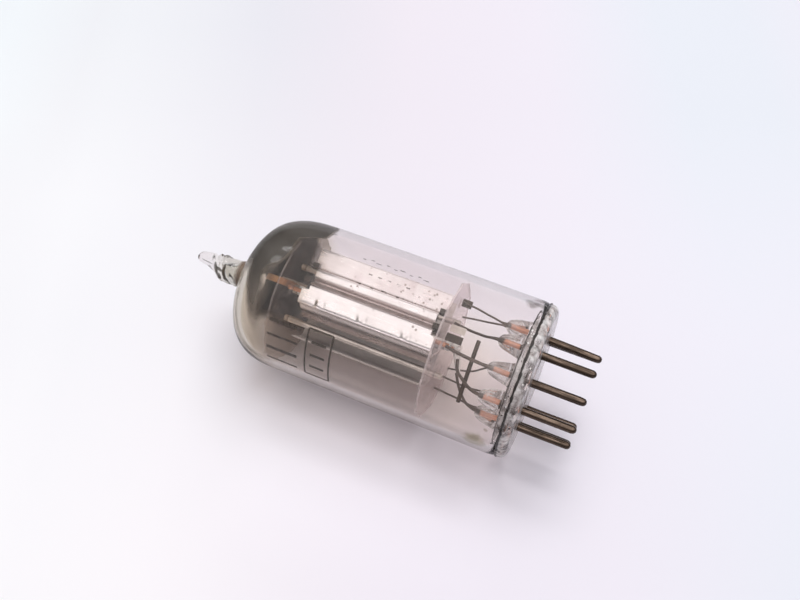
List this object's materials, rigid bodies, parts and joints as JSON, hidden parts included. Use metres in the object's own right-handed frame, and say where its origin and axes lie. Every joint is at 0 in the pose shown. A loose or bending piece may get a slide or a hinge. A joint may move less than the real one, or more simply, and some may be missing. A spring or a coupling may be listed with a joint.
{
  "type": "vacuum tube",
  "caption": "Upright clear glass vacuum tube with a domed bulb, sealed exhaust tip, flat glass base with contact pins below, and a metal electrode stack between mica discs inside.",
  "frame": {"origin": "centre of the flat seat under the glass base, in the middle of the pin circle", "axes": "+Z along the bulb's axis from the base toward the exhaust tip, so the pins point along -Z; -X toward the wide gap in the pin circle, between pin 9 and pin 1"},
  "size_m": [0.0206, 0.0206, 0.056],
  "materials": {
    "bulb_glass": "clear blown glass, smooth and glossy",
    "stem_glass": "clear pressed glass, slightly wavy",
    "pin_metal": "oxidised nickel-iron, brown-grey, satin",
    "lead_metal": "copper-clad wire, dulled",
    "mica": "cleaved mica, translucent and pinkish",
    "bright_nickel": "bright nickel, satin",
    "grey_nickel": "grey oxidised nickel, satin",
    "copper_rod": "copper, dulled",
    "oxide_coating": "white oxide coating, matte",
    "heater_coating": "white alumina coating on wire, matte",
    "dark_metal": "dark oxidised metal, matte",
    "burnt_metal": "heat-coloured steel channel"
  },
  "bodies": {
    "root": {"button_stem": "stem_glass", "cathode_strap": "bright_nickel", "connecting_bar": "dark_metal", "diode_cathode": "oxide_coating", "diode_heater": "heater_coating", "diode_plate_1": "grey_nickel", "diode_plate_2": "grey_nickel", "diode_plate_3": "grey_nickel", "getter_ring": "burnt_metal", "getter_support": "bright_nickel", "glass_envelope": "bulb_glass", "grid_rod_back": "copper_rod", "grid_rod_front": "copper_rod", "grid_strap": "grey_nickel", "grid_winding": "grey_nickel", "lead_wire_1": "lead_metal", "lead_wire_2": "lead_metal", "lead_wire_3": "lead_metal", "lead_wire_4": "lead_metal", "lead_wire_5": "lead_metal", "lead_wire_6": "lead_metal", "lead_wire_7": "lead_metal", "lead_wire_8": "lead_metal", "lead_wire_9": "lead_metal", "mica_bottom": "mica", "mica_top": "mica", "pin_1": "pin_metal", "pin_2": "pin_metal", "pin_3": "pin_metal", "pin_4": "pin_metal", "pin_5": "pin_metal", "pin_6": "pin_metal", "pin_7": "pin_metal", "pin_8": "pin_metal", "pin_9": "pin_metal", "plate_tab": "grey_nickel", "shield_plate": "grey_nickel", "support_rod_a": "bright_nickel", "support_rod_b": "bright_nickel", "triode_cathode": "oxide_coating", "triode_heater": "heater_coating", "triode_plate_back": "bright_nickel", "triode_plate_front": "bright_nickel"}
  },
  "joints": []
}
